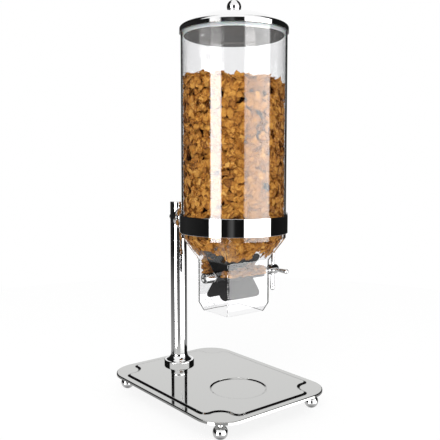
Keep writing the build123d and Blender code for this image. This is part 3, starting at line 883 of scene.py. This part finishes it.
def make_vanes(material):
    """Soft vanes with round corners. The two that are level at rest are shorter, so
    that they end inside the walls."""
    for number in range(VANE_COUNT):
        turn = math.radians(360 / VANE_COUNT * number)
        length = LEVEL_VANE_LENGTH if number % (VANE_COUNT // 2) == 0 else VANE_LENGTH
        slope = (VANE_TIP_HALF - VANE_ROOT_HALF) / (VANE_LENGTH - VANE_ROOT)
        tip_half = VANE_ROOT_HALF + slope * (length - VANE_ROOT)
        outline = [(-VANE_ROOT_HALF, VANE_ROOT), (VANE_ROOT_HALF, VANE_ROOT)]
        centre = (tip_half - VANE_ROUND, length - VANE_ROUND)
        lean = math.degrees(math.atan(slope))
        for side, start in ((1, -lean), (-1, 90)):
            for step in range(VANE_ROUND_STEPS + 1):
                angle = math.radians(start + (90 + lean) * step / VANE_ROUND_STEPS)
                x = side * centre[0] + VANE_ROUND * math.cos(angle)
                outline.append((x, centre[1] + VANE_ROUND * math.sin(angle)))
        outline = np.array(outline)
        inner = offset_outline(outline, -VANE_EDGE)
        half = VANE_THICKNESS / 2
        brim = half - VANE_EDGE
        loops = [(inner, half), (outline, brim), (outline, -brim), (inner, -half)]
        points = []
        for loop, lift in loops:
            for x, reach in loop:
                y = reach * math.cos(turn) - lift * math.sin(turn)
                z = reach * math.sin(turn) + lift * math.cos(turn)
                points.append((x, AXIS_Y + y, SHAFT_Z + z))
        count = len(outline)
        faces = [tuple(reversed(face)) for face in ring_faces(len(loops), count, False)]
        faces.append(tuple(range(count)))
        faces.append(tuple(3 * count + i for i in reversed(range(count))))
        vane = mesh_object(f"soft_vane_{number + 1}", points, faces, smooth=False)
        vane.data.materials.append(material)
        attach(vane, "paddle_wheel")
        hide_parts(f"vane_{number + 1}")


def hopper_section(height, inset):
    """Outline of the hopper's funnel, throat or chute at a height."""

    def square(half, corner):
        inner_half = (half[0] - inset, half[1] - inset)
        return round_rectangle(inner_half, max(corner - inset, LEAST_ROUND), CORNER_STEPS)

    throat = square(THROAT_HALF, THROAT_ROUND)
    if height >= THROAT_TOP:
        share = (height - THROAT_TOP) / (FUNNEL_TOP - THROAT_TOP)
        eased = 3 * share**2 - 2 * share**3
        share = (1 - FUNNEL_EASE) * share + FUNNEL_EASE * eased
        radius = CANISTER_BORE + WALL + FUNNEL_OVERHANG if inset == 0 else SPIGOT_BORE
        turns = np.arctan2(throat[:, 1], throat[:, 0])
        circle = np.stack([radius * np.cos(turns), radius * np.sin(turns)], 1)
        return throat + (circle - throat) * share
    if height >= THROAT_BOTTOM:
        return throat
    return square(CHUTE_HALF, CHUTE_ROUND)


def make_hopper(material):
    """Clear hopper, one wall thick, with its spigot above and the bores for the bushes."""
    fall = THROAT_TOP - FUNNEL_TOP
    heights = [FUNNEL_TOP + fall * step / FUNNEL_STEPS for step in range(FUNNEL_STEPS + 1)]
    heights += [THROAT_BOTTOM, HOPPER_LOW.z]
    outside = [(hopper_section(height, 0), height) for height in heights]
    inside = [(hopper_section(height, WALL), height) for height in reversed(heights)]
    turns = np.arctan2(outside[0][0][:, 1], outside[0][0][:, 0])
    around = np.stack([np.cos(turns), np.sin(turns)], 1)
    loops = [(around * SPIGOT_RADIUS, HOPPER_HIGH.z), (around * SPIGOT_RADIUS, FUNNEL_TOP)]
    loops += outside + inside + [(around * SPIGOT_BORE, HOPPER_HIGH.z)]
    points = [(x, AXIS_Y + y, height) for loop, height in loops for x, y in loop]
    faces = ring_faces(len(loops), len(around), True)
    faces = [tuple(reversed(face)) for face in faces]
    hopper = mesh_object("hopper_shell", points, faces)
    sides = BUSH_SIDES
    bore = []
    for side in (-1, 1):
        for i in range(sides):
            turn = 2 * math.pi * i / sides
            y = AXIS_Y + BUSH_HOLE * math.cos(turn)
            bore.append((side * BUSH_REACH, y, SHAFT_Z + BUSH_HOLE * math.sin(turn)))
    bore_faces = ring_faces(2, sides, False)
    bore_faces += [tuple(reversed(range(sides))), tuple(sides + i for i in range(sides))]
    cutter = mesh_object("bush_bore", bore, [tuple(reversed(face)) for face in bore_faces])
    cut = hopper.modifiers.new("bore", "BOOLEAN")
    cut.object = cutter
    cut.operation = "DIFFERENCE"
    cut.solver = "EXACT"
    evaluated = hopper.evaluated_get(bpy.context.evaluated_depsgraph_get())
    bored = bpy.data.meshes.new_from_object(evaluated)
    hopper.modifiers.clear()
    hopper.data = bored
    bpy.data.objects.remove(cutter)
    hopper.data.set_sharp_from_angle(angle=math.radians(SHARP_ANGLE))
    flat_walls = hopper.modifiers.new("flat_walls", "WEIGHTED_NORMAL")
    flat_walls.keep_sharp = True
    hopper.data.materials.clear()
    hopper.data.materials.append(material)
    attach(hopper, "stand")
    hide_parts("hopper")


def plateau_corner():
    """Step outline of one quarter of the plate, from its right side to its far side."""
    half_x = PLATE_HIGH.x - STEP_INSET
    half_y = PLATE_HIGH.y - STEP_INSET
    low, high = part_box("foot_back_right")
    foot = np.array(((low.x + high.x) / 2, (low.y + high.y) / 2))
    reach = NOTCH_RADIUS + SHOULDER_ROUND
    first = np.array((half_x - SHOULDER_ROUND, 0.0))
    first[1] = foot[1] - math.sqrt(reach**2 - (first[0] - foot[0]) ** 2)
    last = np.array((0.0, half_y - SHOULDER_ROUND))
    last[0] = foot[0] - math.sqrt(reach**2 - (last[1] - foot[1]) ** 2)

    def arc(centre, radius, start, end, steps):
        turns = np.linspace(start, end, steps)
        return centre + radius * np.stack([np.cos(turns), np.sin(turns)], 1)

    to_foot = math.atan2(*(foot - first)[::-1])
    from_last = math.atan2(*(foot - last)[::-1])
    return np.vstack(
        [
            arc(first, SHOULDER_ROUND, 0, to_foot, SHOULDER_STEPS),
            arc(foot, NOTCH_RADIUS, to_foot - math.pi, from_last - math.pi, NOTCH_STEPS)[1:-1],
            arc(last, SHOULDER_ROUND, from_last, math.pi / 2, SHOULDER_STEPS),
        ]
    )


def slope_fall(share):
    """Share of the fall reached on a straight slope with rounded ends."""
    if share < SLOPE_ROUND:
        return share**2 / (2 * SLOPE_ROUND * (1 - SLOPE_ROUND))
    if share > 1 - SLOPE_ROUND:
        return 1 - slope_fall(1 - share)
    return (share - SLOPE_ROUND / 2) / (1 - SLOPE_ROUND)


def make_steps(material):
    """Rounded slopes of the pressed step and of the bowl recess, over their plain edges."""
    quarter = plateau_corner()
    mirrored_x = quarter[::-1] * (-1, 1)
    outline = np.vstack([quarter, mirrored_x, -quarter, -mirrored_x])
    turns = np.linspace(0, 2 * math.pi, RECESS_SIDES + 1)[:-1]
    circle = np.stack([np.cos(turns), np.sin(turns)], 1) * RECESS_RADIUS + (0, RECESS_Y)
    for name, line, (inner, outer) in (
        ("step_slope", outline, STEP_SLOPE),
        ("recess_slope", circle, RECESS_SLOPE),
    ):
        loops = []
        for row in range(SLOPE_ROWS):
            share = row / (SLOPE_ROWS - 1)
            height = PLATE_HIGH.z + SLOPE_LIFT - STEP_RISE * slope_fall(share)
            loops.append((offset_outline(line, inner + (outer - inner) * share), height))
        points = [(x, y, z) for loop, z in loops for x, y in loop]
        faces = ring_faces(SLOPE_ROWS, len(line), False)
        if outer > inner:
            faces = [tuple(reversed(face)) for face in faces]
        slope = mesh_object(name, points, faces)
        slope.data.materials.append(material)
        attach(slope, "stand")


make_world()
make_camera()
make_floor()
make_lamp("key", KEY_PLACE, KEY_TARGET, KEY_SIZE, KEY_POWER)
dress_nodes()
make_hopper(NODES["canister_tube"].data.materials[0])
make_vanes(NODES["rotor_core"].data.materials[0])
make_steps(NODES["base_plate"].data.materials[0])
make_cereal()
make_pocket_flakes()

bpy.context.scene.view_settings.view_transform = "Standard"
